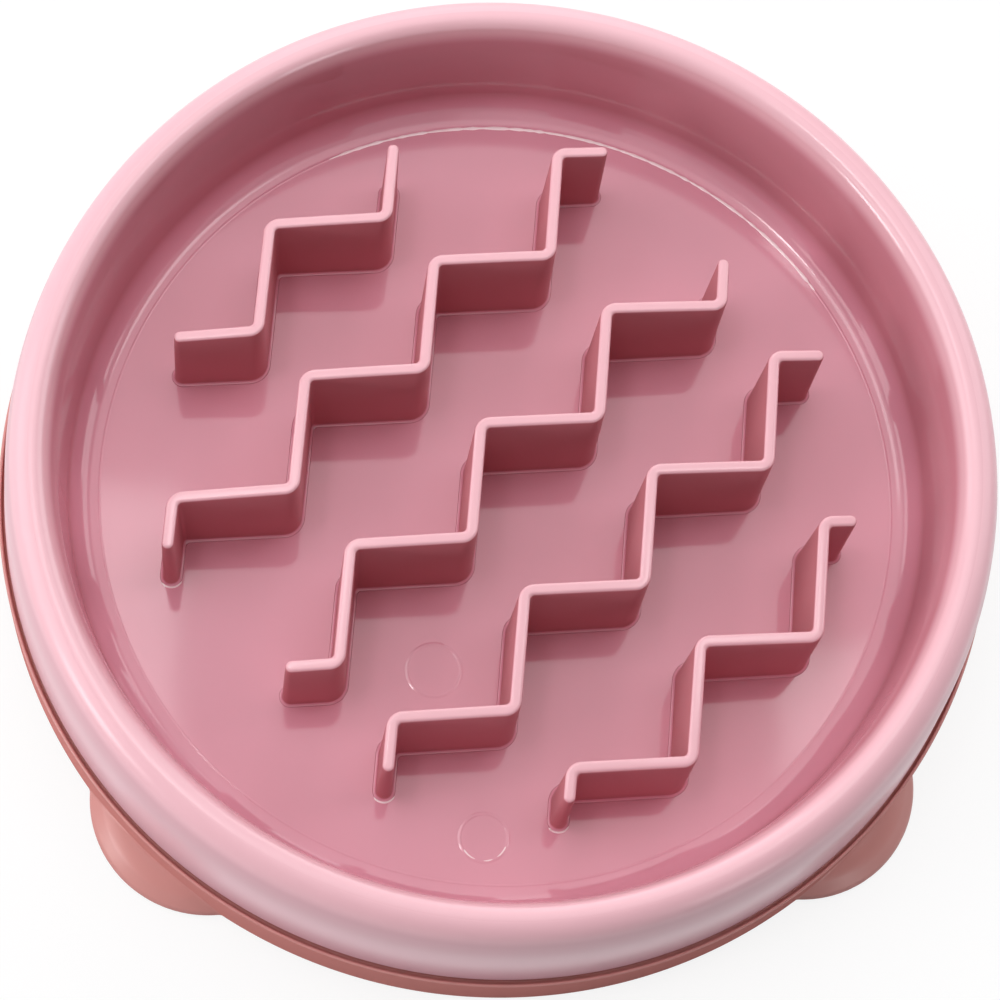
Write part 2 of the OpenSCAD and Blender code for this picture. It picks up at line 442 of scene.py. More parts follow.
@dataclass
class Bowl:
    """The dish with its rim and skirt, one moulding, as a turned section.

    Sizes are those of the CAD source, with the fine edges that it leaves out.
    """

    crest_r: float = 103.3
    rim_top: float = 48.1
    wall: float = 2.5
    lip_in_r: float = 3.1
    lip_out_r: float = 5.05
    flare_in_lean: float = 20.3
    flare_in_r: float = 33.0
    flare_out_lean: float = 17.8
    flare_out_r: float = 45.0
    wall_draft: float = 3.5
    skirt_lean: float = 4.9
    floor_z: float = 14.0
    floor_fillet: float = 6.4
    seat_z: float = 16.3
    edge_r: float = 0.35
    witness_w: float = 0.6
    witness_h: float = 0.05
    columns: int = 480

    def flare_centres(self) -> tuple[Pair, Pair]:
        """Centres of the long flares inside and outside, each tangent to its lip arc.

        Returns:
            The inner and the outer centre, as (radius, height).
        """
        lin, out = radians(self.flare_in_lean), radians(self.flare_out_lean)
        reach_in, reach_out = self.flare_in_r - self.lip_in_r, self.flare_out_r - self.lip_out_r
        inner = (
            self.crest_r + reach_in * cos(lin),
            self.rim_top - self.lip_in_r - reach_in * sin(lin),
        )
        outer = (
            self.crest_r - reach_out * cos(out),
            self.rim_top - self.lip_out_r - reach_out * sin(out),
        )
        return inner, outer

    def wall_radius(self, z: float) -> float:
        """Radius of the straight inner wall at height z."""
        (r, h), _ = self.flare_centres()
        draft = radians(self.wall_draft)
        start = h + self.flare_in_r * sin(draft)
        return r - self.flare_in_r * cos(draft) - (start - z) * tan(draft)

    def skirt_radius(self, z: float) -> float:
        """Radius of the outside of the straight skirt at height z."""
        _, (r, h) = self.flare_centres()
        lean = radians(self.skirt_lean)
        start = h + self.flare_out_r * sin(lean)
        return r + self.flare_out_r * cos(lean) + (start - z) * tan(lean)

    def floor_radius(self) -> float:
        """Radius of the flat floor, where the fillet up to the wall starts."""
        draft = radians(self.wall_draft)
        top = self.floor_z + self.floor_fillet * (1 - sin(draft))
        return self.wall_radius(top) - self.floor_fillet * cos(draft)

    def section(self) -> Array:
        """Half section from the middle of the floor over the rim and back under the floor.

        Returns:
            An array of (radius, height) points that starts and ends on the axis.
        """
        inner, outer = self.flare_centres()
        lip_in = (self.crest_r, self.rim_top - self.lip_in_r)
        lip_out = (self.crest_r, self.rim_top - self.lip_out_r)
        edge = self.floor_radius()
        fillet = (edge, self.floor_z + self.floor_fillet)
        lean = radians(self.skirt_lean)
        # The lower half of the fillet, below this angle, is not repeated behind the skin
        split = -60

        def skin(depth: float) -> list[Array]:
            """The arcs from the fillet to the skirt.

            Args:
                depth: How far they lie behind the skin that shows.

            Returns:
                The arcs, in order.
            """
            return [
                arc(fillet, self.floor_fillet + depth, split, -self.wall_draft, 10),
                arc(inner, self.flare_in_r - depth, 180 - self.wall_draft, 180 - self.flare_in_lean, 10),
                arc(lip_in, self.lip_in_r - depth, 180 - self.flare_in_lean, 90, 14)[1:],
                arc(lip_out, self.lip_out_r - depth, 90, self.flare_out_lean, 16)[1:],
                arc(outer, self.flare_out_r - depth, self.flare_out_lean, self.skirt_lean, 10)[1:],
            ]

        # Lower edge of the skirt, with a small round outside and inside
        foot_out = self.skirt_radius(self.seat_z)
        foot_in = foot_out - self.wall / cos(lean)
        rounds = [
            arc((foot_out - self.edge_r, self.seat_z + self.edge_r), self.edge_r, 0, -90, 4),
            arc((foot_in + self.edge_r, self.seat_z + self.edge_r), self.edge_r, -90, -180, 4),
        ]
        # Witness line of the mould's core: a hair of plastic just inside the foot of the fillet
        t = np.linspace(0, 1, 11)
        line = np.stack(
            [edge - self.witness_w * (1 - t), self.floor_z + self.witness_h * np.sin(pi * t)], axis=-1
        )
        # Rings of the flat floor, closer together near the wall, and of its underside
        floor = np.array([[r, self.floor_z] for r in (0, 8, 20, 35, 50, 65, 78, 86, line[0, 0] - 0.04)])
        under = np.array([[r, self.floor_z - self.wall] for r in (80, 60, 40, 20, 0)])
        rise = arc(fillet, self.floor_fillet, -89.5, split, 8)[:-1]
        outside = skin(0)
        inside = [part[::-1] for part in skin(self.wall)[::-1]]
        return np.vstack([floor, line, rise, *outside, *rounds, *inside, under])

    def build(self, plastic: Material) -> None:
        """Makes the turned bowl, which stands for the CAD bowl and skirt.

        Args:
            plastic: The bowl's material.
        """
        piece = make_piece("bowl_moulding", *lathe(self.section(), self.columns))
        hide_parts("bowl", "skirt")
        dress(piece, plastic)


@dataclass
class EjectorMark:
    """Round witness of an ejector pin: a shallow dish with a rim a hair proud of the floor."""

    name: str
    place: Pair
    radius: float
    floor_z: float
    rim_h: float = 0.07
    rim_w: float = 1.1
    inner_w: float = 0.35
    dish_share: float = 1 / 7
    columns: int = 120

    def build(self, plastic: Material) -> None:
        """Makes the mark: flat inside, a steep inner slope and a gentle outer one.

        Args:
            plastic: The bowl's material.
        """
        base, low = self.floor_z, self.floor_z + self.rim_h * self.dish_share
        t = np.linspace(0, 1, 7)
        ease = (1 - np.cos(pi * t)) / 2
        inner = np.stack([self.radius + self.inner_w * t, low + (base + self.rim_h - low) * ease], axis=-1)
        outer = np.stack(
            [self.radius + self.inner_w + self.rim_w * t, base + self.rim_h - 2 * self.rim_h * ease], axis=-1
        )
        flat = np.array([[0, low], [self.radius * 0.6, low], [self.radius - 0.3, low]])
        section = np.vstack([flat, inner, outer[1:], [[0, base - self.rim_h]]])
        piece = make_piece(self.name, *lathe(section, self.columns, self.place))
        dress(piece, plastic)


@dataclass
class FlashLine:
    """Burr where two parts of the mould met: a low ridge on an arc, uneven like pressed-out plastic.

    The arc runs from azimuth start to end about middle. A bead is bead long, and its size lies
    between smallest and 1. Each end thins out to thinnest over the share taper of the arc.
    """

    name: str
    radius: float
    floor_z: float
    start: float = 31.5
    end: float = 118.5
    width: float = 1.0
    height: float = 0.14
    bead: float = 1.2
    smallest: float = 0.45
    taper: float = 0.06
    thinnest: float = 0.15
    seed: int = 7
    middle: Pair = (0.0, 0.0)
    steps: int = 6
    round_points: int = 10

    def build(self, plastic: Material) -> None:
        """Makes the burr, a half tube whose size follows a random row of beads.

        Args:
            plastic: The burr's material.
        """
        beads = max(3, int(radians(self.end - self.start) * self.radius / self.bead))
        t = np.linspace(0, 1, beads * self.steps)
        sizes = np.random.default_rng(self.seed).uniform(self.smallest, 1, beads)
        thinning = np.clip(np.minimum(t, 1 - t) / self.taper, self.thinnest, 1)
        size = (np.interp(t, np.linspace(0, 1, beads), sizes) * thinning)[:, None]
        a = np.radians(self.start + (self.end - self.start) * t)[:, None]
        b = np.linspace(0, pi, self.round_points)[None, :]
        r = self.radius + self.width / 2 * size * np.cos(b)
        # The lower quarter of the ridge stays in the floor, whatever the bead's size
        z = self.floor_z - self.height / 4 + self.height * (size + 0.25) * np.sin(b)
        x, y = self.middle
        points = np.stack([x + r * np.cos(a), y + r * np.sin(a), z], axis=-1).reshape(-1, 3)
        ring = np.arange(self.round_points)[None, :]
        ends = [ring[:, ::-1], ring + len(points) - self.round_points]
        piece = make_piece(self.name, points, [grid_faces(len(t), self.round_points), *ends])
        dress(piece, plastic)


# The maze


class Side(Enum):
    """Which way the middle corner of a zigzag row points across the row."""

    BACK = 1
    FRONT = -1


@dataclass
class Row:
    """One zigzag rib: its CAD node, its place and reach, and the side of its middle corner."""

    node: str
    place: float
    reach: float
    side: Side


@dataclass
class Maze:
    """Five zigzag ribs with drafted sides, a fillet at the foot and a crowned top.

    A rib is a stack of outlines. Outline k is the zigzag's edge at a half width w_k and a
    height h_k, where w shrinks and h grows up the rib. The top follows a shallow dome:
    its height falls with the square of the distance from the middle of the bowl.
    """

    floor_z: float
    radius: float
    top_z: float
    crown_drop: float = 4.6
    thickness: float = 2.6
    draft: float = 0.5
    foot_r: float = 0.75
    edge_r: float = 0.75
    corner_r: float = 1.1
    zig_angle: float = 40.6
    turn: float = 45.0
    leg_share: float = 0.331
    pitch_share: float = 0.4266
    corner_steps: int = 10
    leg_steps: int = 6
    end_steps: int = 11
    side_steps: int = 6

    def rows(self) -> list[Row]:
        """The five rows, from the back left to the front right."""
        pitch = self.radius * self.pitch_share
        facts = [
            (1.985, 1.66, Side.BACK),
            (1.035, 3.39, Side.FRONT),
            (0.005, 3.39, Side.BACK),
            (-0.986, 3.39, Side.FRONT),
            (-2.001, 2.235, Side.BACK),
        ]
        return [Row(f"maze_rib_{i}", pitch * p, reach, side) for i, (p, reach, side) in enumerate(facts, 1)]

    def corner(self, row: Row, i: Array | int) -> Array:
        """Place of corner i of a row, counted from its middle corner.

        Args:
            row: The row.
            i: One index or an array of them.

        Returns:
            The (x, y) place along and across the row.
        """
        leg, angle = self.radius * self.leg_share, radians(self.zig_angle)
        sign = row.side.value * (1 - 2 * (np.abs(i) % 2))
        across = leg * sin(angle) / 2 * sign + row.place
        return np.stack([i * leg * cos(angle), across], axis=-1)

    def left_end(self, row: Row) -> Pair:
        """Place of the middle of a row's left end, in the bowl's axes.

        Args:
            row: The row.

        Returns:
            The (x, y) place.
        """
        last = int(row.reach)
        a, b = self.corner(row, last), self.corner(row, last + 1)
        x, y = a + (b - a) * (row.reach - last)
        t = radians(self.turn)
        return -x * cos(t) - y * sin(t), y * cos(t) - x * sin(t)

    def side_line(self, row: Row, w: Array, up: int) -> Array:
        """One side of the row's outline at each half width, from left to right.

        At each corner an arc turns the edge from one leg to the next. Where the corner
        points to this side the arc is about the zigzag's own corner, and elsewhere it is
        the small inner round. Straight runs join the arcs.

        Args:
            row: The row.
            w: Half widths, one for each level of the rib.
            up: 1 for the far side and -1 for the near side.

        Returns:
            An array of (level, point, 2).
        """
        last = int(row.reach)
        i = np.arange(-last, last + 1)
        c = self.corner(row, i)
        s = row.side.value * (1 - 2 * (np.abs(i) % 2))
        outward = (s * up > 0)[None, :]
        w = w[:, None]
        cosine = cos(radians(self.zig_angle))
        r_out = self.corner_r + w + self.thickness / 2
        r = np.where(outward, r_out, self.corner_r)
        y = c[None, :, 1] + np.where(outward, w - r_out, -w - self.corner_r) * s / cosine
        t = np.linspace(1, -1, self.corner_steps + 1)
        a = np.radians(s[:, None] * (90 + t[None, :] * self.zig_angle))
        arcs = np.stack(
            [
                c[None, :, None, 0] + r[..., None] * np.cos(a)[None],
                y[..., None] + r[..., None] * np.sin(a)[None],
            ],
            axis=-1,
        )
        u = np.linspace(0, 1, self.leg_steps + 1)[1:-1, None]
        legs = arcs[:, :-1, -1, None, :] * (1 - u) + arcs[:, 1:, 0, None, :] * u
        joined = np.concatenate([arcs[:, :-1], legs], axis=2).reshape(len(w), -1, 2)
        return np.concatenate([joined, arcs[:, -1]], axis=1)

    def outline(self, row: Row, w: Array) -> Array:
        """Closed outline of a row at each half width: far side, right end, near side, left end.

        It starts in the middle of the left end, so points i and n - 1 - i lie opposite.

        Args:
            row: The row.
            w: Half widths, one for each level.

        Returns:
            An array of (level, point, 2).
        """
        last = int(row.reach)
        a, b = self.corner(row, last), self.corner(row, last + 1)
        end = a + (b - a) * (row.reach - last)
        lean = degrees(atan2(b[1] - a[1], b[0] - a[0]))

        def round_end(mirror: int) -> Array:
            """Half circle about one end, at each level.

            Args:
                mirror: 1 for the right end and -1 for the left one.

            Returns:
                An array of (level, point, 2).
            """
            t = np.radians(np.linspace(lean + 90, lean - 90, self.end_steps + 1))[::mirror]
            x = mirror * (end[0] + w[:, None] * np.cos(t))
            return np.stack([x, end[1] + w[:, None] * np.sin(t)], axis=-1)

        loop = np.concatenate(
            [round_end(-1), self.side_line(row, w, 1), round_end(1), self.side_line(row, w, -1)[:, ::-1]],
            axis=1,
        )
        return np.roll(loop, -(self.end_steps + 1) // 2, axis=1)

    def levels(self) -> tuple[Array, Array, Array]:
        """Half width, height and crown share of each level, from the foot to the top.

        The foot is a quarter circle that leaves the floor flat. The side then leans in by
        the draft to a quarter circle that ends flat in the top.

        Returns:
            Half widths, heights above the foot or the top, and 0 for the foot or 1 for the top.
        """
        a = np.radians(np.linspace(0, 90, self.side_steps + 1))
        half = self.thickness / 2
        w = np.concatenate(
            [half + self.draft + self.foot_r * (1 - np.sin(a)), half - self.edge_r * (1 - np.cos(a))]
        )
        h = np.concatenate([self.foot_r * (1 - np.cos(a)), self.edge_r * (np.sin(a) - 1)])
        return w, h, np.repeat([0.0, 1.0], self.side_steps + 1)

    def rib(self, row: Row) -> Mesh:
        """The rib as rings of points stacked from the floor to the crowned top.

        Args:
            row: The row.

        Returns:
            The points and the groups of faces.
        """
        w, h, share = self.levels()
        flat = self.outline(row, w)
        fall = self.crown_drop * (flat**2).sum(axis=-1) / self.radius**2
        top = self.top_z - self.floor_z - fall
        z = self.floor_z + h[:, None] + share[:, None] * top
        turn = radians(self.turn)
        x = flat[..., 0] * cos(turn) - flat[..., 1] * sin(turn)
        y = flat[..., 0] * sin(turn) + flat[..., 1] * cos(turn)
        levels, n = z.shape
        i = np.arange(n // 2 - 1)
        lid = np.stack([i, i + 1, n - 2 - i, n - 1 - i], axis=-1)
        faces = [grid_faces(levels, n), lid[:, ::-1], lid + (levels - 1) * n]
        return np.stack([x, y, z], axis=-1).reshape(-1, 3), faces

    def build(self, plastic: Material) -> None:
        """Makes the five ribs, each of which stands for its CAD node.

        Args:
            plastic: The bowl's material.
        """
        for row in self.rows():
            piece = make_piece(row.node + "_moulding", *self.rib(row))
            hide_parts(row.node)
            dress(piece, plastic)


# The base ring


def round_union(a: Array, b: Array, radius: float) -> Array:
    """Distance to two solids joined with a fillet.

    Args:
        a: Signed distance to the first.
        b: Signed distance to the second.
        radius: Radius of the fillet.

    Returns:
        max(radius, min(a, b)) less the length of (radius - a, radius - b), cut off at 0.
    """
    u, v = np.maximum(radius - a, 0), np.maximum(radius - b, 0)
    return np.maximum(radius, np.minimum(a, b)) - np.hypot(u, v)


def round_common(a: Array, b: Array, radius: float) -> Array:
    """Distance to what two solids share, with a rounded edge: the union turned inside out.

    Args:
        a: Signed distance to the first.
        b: Signed distance to the second.
        radius: Radius of the edge.

    Returns:
        The signed distance, negative inside.
    """
    return -round_union(-a, -b, radius)


@dataclass
class BaseRing:
    """The ring under the skirt, with a rounded lip and four half-round lobes.

    The outside is one surface, found on rays. Ray (a, b) starts on a circle inside the
    wall, at angle a round the bowl, and rises at angle b. It ends where the signed
    distance to the wall joined with the nearest lobe is zero. The rest is a turned section,
    and the part of each lobe inside the wall is a piece of its own.
    """

    bowl: Bowl
    flare: float = 1.8
    draft: float = 1.2
    proud: float = 0.5
    groove_h: float = 2.2
    lip_w: float = 0.8
    lip_drop: float = 0.4
    wall: float = 2.4
    collar_h: float = 7.7
    gap: float = 0.3
    bead_r: float = 0.6
    turn: float = 2.25
    foot_r: float = 26.85
    foot_proud: float = 7.5
    foot_h: float = 5.5
    pad_proud: float = 1.0
    joint_r: float = 0.4
    edge_r: float = 0.8
    chamfer: float = 0.3
    spine: Pair = (109.9, 4.2)
    near_half: float = 13.0
    near_columns: int = 112
    between_columns: int = 58

    def seat_radius(self) -> float:
        """Radius of the seat under the skirt, where the groove starts."""
        return self.bowl.skirt_radius(self.bowl.seat_z) - self.proud

    def base_radius(self) -> float:
        """Radius of the wall at the bottom."""
        return self.bowl.skirt_radius(self.bowl.seat_z) + self.flare

    def wall_radius(self, z: Array | float) -> Array | float:
        """Radius of the wall at height z: it leans in by the draft."""
        return self.base_radius() - (z - self.pad_proud) * tan(radians(self.draft))

    def lip(self) -> Pair:
        """Radius and height of the middle of the lip's round top."""
        z = self.bowl.seat_z - self.lip_drop - self.lip_w / 2
        return self.wall_radius(z) - self.lip_w / 2, z

    def lobe_place(self) -> float:
        """Distance of each lobe's axis from the middle of the bowl."""
        return self.base_radius() + self.foot_proud - self.foot_r

    def distance(self, r: Array, z: Array, a: Array) -> Array:
        """Signed distance to the ring's outside at radius r, height z and azimuth a.

        Args:
            r: Radii.
            z: Heights.
            a: Azimuths from the nearest lobe's middle, in radians.

        Returns:
            The signed distance, negative inside.
        """
        bottom, top = self.pad_proud - z, z - self.bowl.seat_z + self.lip_drop
        side = (r - self.wall_radius(z)) * cos(radians(self.draft))
        wall = round_common(side, bottom, self.edge_r)
        wall = round_common(wall, top, self.lip_w / 2)
        c = self.lobe_place()
        d = np.sqrt(r * r + c * c - 2 * r * c * np.cos(a))
        rise = self.foot_h / 5
        slant = (d - self.foot_r + (z - self.pad_proud - rise)) * sqrt(0.5)
        lobe = round_common(slant, z - self.pad_proud - self.foot_h, self.foot_h / 3)
        lobe = round_common(lobe, d - self.foot_r, self.edge_r)
        lobe = round_common(lobe, bottom, self.edge_r / 2)
        return round_union(wall, lobe, self.joint_r)

    def azimuths(self) -> tuple[Array, Array]:
        """Azimuths of the columns, close together across each lobe and wider apart between.

        Returns:
            The azimuths and, for each, the azimuth from the nearest lobe's middle, in radians.
        """
        near = np.linspace(-self.near_half, self.near_half, self.near_columns, endpoint=False)
        between = np.linspace(self.near_half, 90 - self.near_half, self.between_columns, endpoint=False)
        quarter = np.concatenate([near, between])
        away = np.concatenate([near, between - np.where(between > 45, 90, 0)])
        turns = np.arange(4)[:, None] * 90 + 45 + self.turn
        a = np.radians((turns + quarter[None, :]).ravel())
        return a, np.radians(np.tile(away, 4))

    def outside(self) -> tuple[Array, Array]:
        """Radius and height of the outside on every ray, by halving.

        Returns:
            Two arrays of (ray angle, azimuth).
        """
        _, away = self.azimuths()
        lip_r, lip_z = self.lip()
        first = degrees(atan2(lip_z + self.lip_w / 2 - self.spine[1], lip_r - self.spine[0]))
        # Ray angles, close together over the lip's round top and over the lobes
        bands = [(first, first - 2.6, 9), (first - 2.6, 40, 12), (40, 10, 26), (10, -50, 44)]
        angles = [np.linspace(*band, endpoint=False) for band in bands]
        b = np.radians(np.concatenate([*angles, np.linspace(-50, -90, 8)]))[:, None]
        # Each ray ends within 16 mm, and 36 halvings find the place to far less than a micron
        low, high = np.zeros((len(b), len(away))), np.full((len(b), len(away)), 16.0)
        for _ in range(36):
            middle = (low + high) / 2
            r, z = self.spine[0] + middle * np.cos(b), self.spine[1] + middle * np.sin(b)
            inside = self.distance(r, z, away[None, :]) < 0
            low, high = np.where(inside, middle, low), np.where(inside, high, middle)
        return self.spine[0] + low * np.cos(b), self.spine[1] + low * np.sin(b)

    def inside_section(self) -> Array:
        """Half section of what is the same all round: inner wall, collar, bead, seat and groove.

        Returns:
            An array of (radius, height) points from the bottom, up the inside, to the lip's top.
        """
        seat, lean = self.bowl.seat_z, radians(self.bowl.skirt_lean)

        def collar(z: float) -> float:
            """Radius of the collar's outside at height z."""
            return self.bowl.skirt_radius(z) - self.bowl.wall / cos(lean) - self.gap

        top, bead = seat + self.collar_h, seat + self.collar_h / 2
        inner = [
            (self.base_radius() - self.wall, self.pad_proud),
            (self.wall_radius(seat) - self.wall, seat - self.groove_h - self.wall),
            (collar(seat) - self.wall, seat - self.wall + 2 * self.chamfer),
            (collar(top) - self.wall, top - self.chamfer),
            (collar(top) - self.wall + self.chamfer, top),
            (collar(top) - self.chamfer, top),
            (collar(top), top - self.chamfer),
        ]
        ring = arc((collar(bead), bead), self.bead_r, 80, -80, 8)
        seat_r, lip_r = self.seat_radius(), self.lip_w / 2
        groove_r = (self.lip()[0] - lip_r - seat_r) / 2
        groove = (seat_r + groove_r, seat - self.groove_h + groove_r)
        edge = [(collar(seat), seat + 0.01), (seat_r - 0.1, seat), (seat_r, seat - 0.1)]
        return np.vstack(
            [inner, ring, edge, arc(groove, groove_r, 180, 360, 12), arc(self.lip(), lip_r, 180, 96, 8)]
        )

    def inner_lobe(self, turn: float) -> Mesh:
        """The part of a lobe inside the wall: outlines at rising heights, with flat ends.

        At radius r the lobe's side lies at azimuth +-acos((r^2 + c^2 - R^2) / (2 r c)) from
        its middle, where c is the lobe's place and R its radius at that height.

        Args:
            turn: Azimuth of the lobe's middle, in degrees.

        Returns:
            The points and the groups of faces.
        """
        c = self.lobe_place()
        r = np.linspace(c, self.base_radius() - self.wall + 0.3, 12)[None, :]
        share = np.linspace(1, -1, 13)[None, 1:-1]
        rise, round_r = self.foot_h / 5, self.foot_h / 3
        up = np.array([0.0, rise, self.foot_h - round_r, self.foot_h])[:, None]
        reach = self.foot_r - np.maximum(up - rise, 0)
        side = np.arccos(np.clip((r * r + c * c - reach * reach) / (2 * r * c), -1, 1))
        out, back = np.full_like(share, r[0, -1]), np.full_like(share, r[0, 0])
        q = np.concatenate([r, out, r[:, ::-1], back], axis=1)
        a = np.concatenate([side, side[:, -1:] * share, -side[:, ::-1], -side[:, :1] * share], axis=1)
        levels, count = a.shape
        points = np.stack([q * np.cos(a), q * np.sin(a), self.pad_proud + up + 0 * a], axis=-1)
        ring = np.arange(count)[None, :]
        faces = [grid_faces(levels, count), ring[:, ::-1], ring + count * (levels - 1)]
        t = radians(turn)
        spin = np.array([[cos(t), sin(t), 0], [-sin(t), cos(t), 0], [0, 0, 1]])
        return points.reshape(-1, 3) @ spin, faces

    def build(self, plastic: Material) -> None:
        """Makes the ring, which stands for the CAD base ring, and its lobes' inner parts.

        Args:
            plastic: The base's material.
        """
        a, _ = self.azimuths()
        r, z = self.outside()
        turned = self.inside_section()
        r = np.vstack([r, np.repeat(turned[:, :1], len(a), axis=1)])
        z = np.vstack([z, np.repeat(turned[:, 1:], len(a), axis=1)])
        points = np.stack([r * np.cos(a), r * np.sin(a), z], axis=-1).reshape(-1, 3)
        piece = make_piece("base_ring_moulding", points, [grid_faces(len(r), len(a), close_rows=True)])
        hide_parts("base_ring")
        dress(piece, plastic)
        for side, turn in (("front_left", 225), ("front_right", 315), ("back_left", 135), ("back_right", 45)):
            lobe = make_piece(f"inner_lobe_{side}", *self.inner_lobe(turn + self.turn))
            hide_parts("base_ring")
            dress(lobe, plastic)


# The studio


def stand(name: str, data: ID, right: Array, back: Array, place: Array) -> Object:
    """Puts a camera or a lamp in the scene. It looks against its back axis.

    Args:
        name: Name of the object.
        data: The camera or the lamp.
        right: Its axis to the right, of length 1.
        back: Its axis away from what it points at, of length 1.
        place: Where it stands, in metres.

    Returns:
        The new object.
    """
    thing = bpy.data.objects.new(name, data)
    bpy.context.scene.collection.objects.link(thing)
    axes = np.column_stack([right, np.cross(back, right), back, place])
    thing.matrix_world = Matrix([[*map(float, row)] for row in axes]).to_4x4()
    return thing


@dataclass
class PhotoCamera:
    """The photograph's view: its place in millimetres, where it points and how it is rolled."""

    place: tuple[float, float, float] = (-47.70, -202.96, 648.96)
    elevation: float = 71.976
    azimuth: float = -103.42
    roll: float = 14.086
    focal_pixels: float = 2923.05
    frame_pixels: float = 1000.0
    sensor: float = 36.0

    def build(self) -> None:
        """Makes the camera. Its back axis is the direction of azimuth and elevation."""
        el, az, roll = (radians(v) for v in (self.elevation, self.azimuth, self.roll))
        back = np.array([cos(el) * cos(az), cos(el) * sin(az), sin(el)])
        right = np.array([-sin(az), cos(az), 0.0])
        rolled = cos(roll) * right + sin(roll) * np.cross(back, right)
        data = bpy.data.cameras.new("photo_camera")
        data.sensor_width = self.sensor
        data.lens = self.focal_pixels / self.frame_pixels * self.sensor
        data.clip_start, data.clip_end = 10 * MM, 100.0
        place = np.array(self.place) * MM
        bpy.context.scene.camera = stand("photo_camera", data, rolled, back, place)


@dataclass
class Softbox:
    """A rectangular area light that points at the bowl."""

    name: str
    place: tuple[float, float, float]
    size: Pair
    power: float

    def build(self) -> None:
        """Makes the light, with its back axis from the bowl to its place."""
        data = bpy.data.lights.new(self.name, "AREA")
        data.shape = "RECTANGLE"
        data.size, data.size_y = self.size
        data.energy = self.power
        back = np.array(self.place) / np.linalg.norm(self.place)
        right = np.cross([0.0, 1.0, 0.0], back)
        stand(self.name, data, right / np.linalg.norm(right), back, np.array(self.place))


@dataclass
class Studio:
    """A plain pale floor, a white background and soft light from all round.

    floor_glow is the share of plain white in the floor, and floor_seen and floor_reflected
    are its strengths to the camera and in reflections.
    """

    floor_size: float = 8.0
    floor_grey: float = 0.8
    floor_glow: float = 0.8
    floor_seen: float = 1.06
    floor_reflected: float = 1.0
    sky: float = 0.03
    sky_seen: float = 1.0

    def seen(self, tree: NodeTree) -> NodeSocket:
        """A socket that is 1 on camera, glossy and transmission rays, and 0 on others.

        Args:
            tree: The node tree of the floor or the world.

        Returns:
            The output socket.
        """
        add = partial(add_node, tree)
        rays = add("LightPath").outputs
        clamp = {"operation": "ADD", "use_clamp": True}
        shown = add("Math", clamp, _0=rays["Is Camera Ray"], _1=rays["Is Glossy Ray"])
        shown = add("Math", clamp, _0=shown.outputs[0], _1=rays["Is Transmission Ray"])
        return shown.outputs[0]

    def build_floor(self) -> None:
        """Makes the floor, white to the camera and in reflections, which keeps the shadow."""
        half = self.floor_size / 2
        mesh = bpy.data.meshes.new("floor")
        corners = [(-half, -half, 0), (half, -half, 0), (half, half, 0), (-half, half, 0)]
        mesh.from_pydata(corners, [], [(0, 1, 2, 3)])
        floor = bpy.data.objects.new("floor", mesh)
        bpy.context.scene.collection.objects.link(floor)
        material, tree = new_material("pale_floor")
        add = partial(add_node, tree)
        rays = add("LightPath").outputs
        paint = add("BsdfDiffuse", Color=(*[self.floor_grey] * 3, 1))
        strength = add(
            "MapRange", Value=rays["Is Glossy Ray"], To_Min=self.floor_seen, To_Max=self.floor_reflected
        )
        glow = add("Emission", Color=(1, 1, 1, 1), Strength=strength.outputs["Result"])
        share = add("Math", {"operation": "MULTIPLY"}, _0=self.seen(tree), _1=self.floor_glow)
        mix = add("MixShader", _0=share.outputs[0], _1=paint.outputs[0], _2=glow.outputs[0])
        add("OutputMaterial", Surface=mix.outputs[0])
        floor.data.materials.append(material)

    def build_world(self) -> None:
        """White where the camera or a reflection sees it, and a low even light elsewhere."""
        world = bpy.data.worlds.new("studio")
        bpy.context.scene.world = world
        world.use_nodes = True
        tree = world.node_tree
        tree.nodes.clear()
        add = partial(add_node, tree)
        strength = add("MapRange", Value=self.seen(tree), To_Min=self.sky, To_Max=self.sky_seen)
        sky = add("Background", Color=(1, 1, 1, 1), Strength=strength.outputs["Result"])
        add("OutputWorld", Surface=sky.outputs[0])

    def build(self) -> None:
        """Builds the floor, the world and the lamps, and sets the plain view transform."""
        bpy.context.scene.view_settings.view_transform = "Standard"
        self.build_floor()
        self.build_world()
        for name, place, size, power in (
            ("overhead_softbox", (-0.05, 0.45, 1.32), (1.3, 1.3), 7.3),
            ("back_softbox", (0.1, 1.3, 0.55), (1.2, 1.2), 8.8),
            ("left_softbox", (-1.2, 0.1, 0.75), (1.2, 1.2), 10.2),
            ("high_left_lamp", (-0.33, 0.01, 1.36), (0.12, 0.12), 0.8),
            ("high_left_softbox", (-0.27, 0.26, 1.3), (0.3, 0.3), 0.9),
            ("high_right_softbox", (0.42, 0.17, 1.3), (0.26, 0.28), 0.7),
            ("front_softbox", (-0.2, -0.55, 1.2), (0.8, 0.8), 1.3),
            ("low_left_lamp", (-1.15, -0.55, 0.36), (0.3, 0.3), 1.2),
            ("low_left_softbox", (-1.3, -0.5, 0.2), (0.8, 0.36), 5.6),
            ("right_softbox", (1.1, 0.55, 0.7), (1.0, 1.0), 6.2),
            ("low_right_softbox", (0.9, -1.1, 0.16), (0.9, 0.3), 2.8),
        ):
            Softbox(name, place, size, power).build()


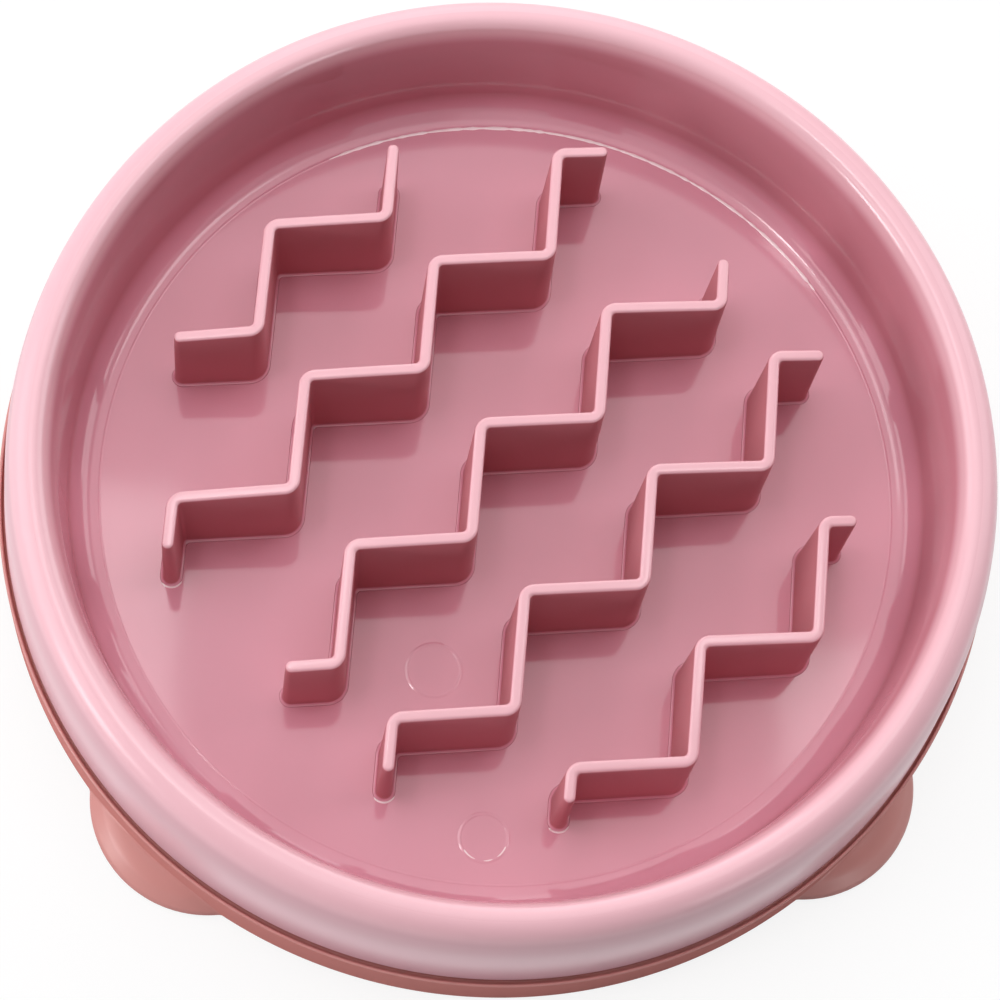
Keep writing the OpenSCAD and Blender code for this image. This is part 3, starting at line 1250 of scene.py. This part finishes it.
def main() -> None:
    """Builds the bowl, the maze, the base, the camera and the studio, in that order."""
    logging.basicConfig(level=logging.INFO, format="%(name)s: %(message)s")
    pink = MouldedPolypropylene(
        name="moulded_polypropylene_pink",
        colour="#E098AA",
        cloud_colour="#DC94A5",
        # The side and outside colours are painted shade, the paler foot colour a painted reflection of the
        # floor, and the pale rim top a painted highlight
        side_colour="#C6808C",
        top_highlight_colour="#ECB7C1",
        outer_shade_colour="#D49CA8",
        foot_reflection_colour="#E8B4C0",
        top_heights=(42.0, 46.0),
        top_facing=(-0.05, 0.3),
        side_gloss=0.7,
        side_roughness=0.08,
        top_roughness=0.12,
        outer_roughness=0.29,
    ).material()
    eroded = MouldedPolypropylene(
        name="moulded_polypropylene_pink_eroded",
        colour="#E098AA",
        cloud_colour="#DC94A5",
        # The deeper side colour is painted shade on the rib faces, and the pale top colour a painted
        # highlight on the rib tops
        side_colour="#C0757D",
        top_highlight_colour="#E8AEB8",
        top_heights=(39.0, 40.0),
        side_roughness=0.45,
        side_gloss=0.2,
    ).material()
    salmon = MouldedPolypropylene(
        name="moulded_polypropylene_salmon",
        colour="#CD8B86",
        cloud_colour="#C88681",
        # The slightly deeper side colour is painted shade on the ring's upright faces
        side_colour="#C6827D",
        top_highlight_colour="#CD8B86",
        side_gloss=0.0,
        outer_roughness=0.36,
    ).material()
    # Near-white burr colours: a painted highlight, not the plastic's own colour
    burr_highlight = MouldedPolypropylene(
        name="burr_painted_highlight_polypropylene",
        colour="#FFE8EC",
        gloss=1.0,
        cloud_colour="#F4D2D8",
        side_colour="#F2CDD4",
        top_highlight_colour="#F8DCE0",
        roughness=0.12,
        side_roughness=0.2,
    ).material()
    rubber = MattRubber("matt_rubber", "#8E6B6B").material()

    bowl = Bowl()
    bowl.build(pink)
    # The maze keeps clear of the wall and stays below the rim
    clear_floor, below_rim = 11.8, 3.4
    maze = Maze(bowl.floor_z, bowl.floor_radius() - clear_floor, bowl.rim_top - below_rim)
    maze.build(eroded)
    EjectorMark("ejector_mark_middle", (-14.6, -42.3), 5.6, bowl.floor_z).build(pink)
    front_mark = (-3.3, -80.1)
    EjectorMark("ejector_mark_front", front_mark, 4.9, bowl.floor_z).build(pink)

    # Flash: long at the back, fine round the front mark and round the left end of three ribs. The burrs are
    # low ridges, and their near-white colour is a painted highlight where the light glints off them.
    witness = bowl.floor_radius() - bowl.witness_w / 2
    FlashLine("flash_highlight_line_back", witness, bowl.floor_z).build(burr_highlight)
    arcs = [("flash_highlight_arc_mark_front", 5.2, front_mark, 205, 345)]
    foot = maze.thickness / 2 + maze.draft + maze.foot_r + 0.1
    for row in maze.rows()[1::2] + maze.rows()[4:]:
        arcs.append((row.node.replace("maze_rib", "flash_highlight_arc_rib"), foot, maze.left_end(row), 215, 335))
    for name, radius, middle, start, end in arcs:
        fine = FlashLine(name, radius, bowl.floor_z, start, end, width=0.5, height=0.1, middle=middle)
        fine.build(burr_highlight)

    BaseRing(bowl).build(salmon)
    for name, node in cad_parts.items():
        if name.startswith("foot_pad"):
            dress(node, rubber)
            log.info("%s: CAD node with %s", name, rubber.name)

    PhotoCamera().build()
    Studio().build()
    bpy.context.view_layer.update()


if __name__ == "__main__":
    main()
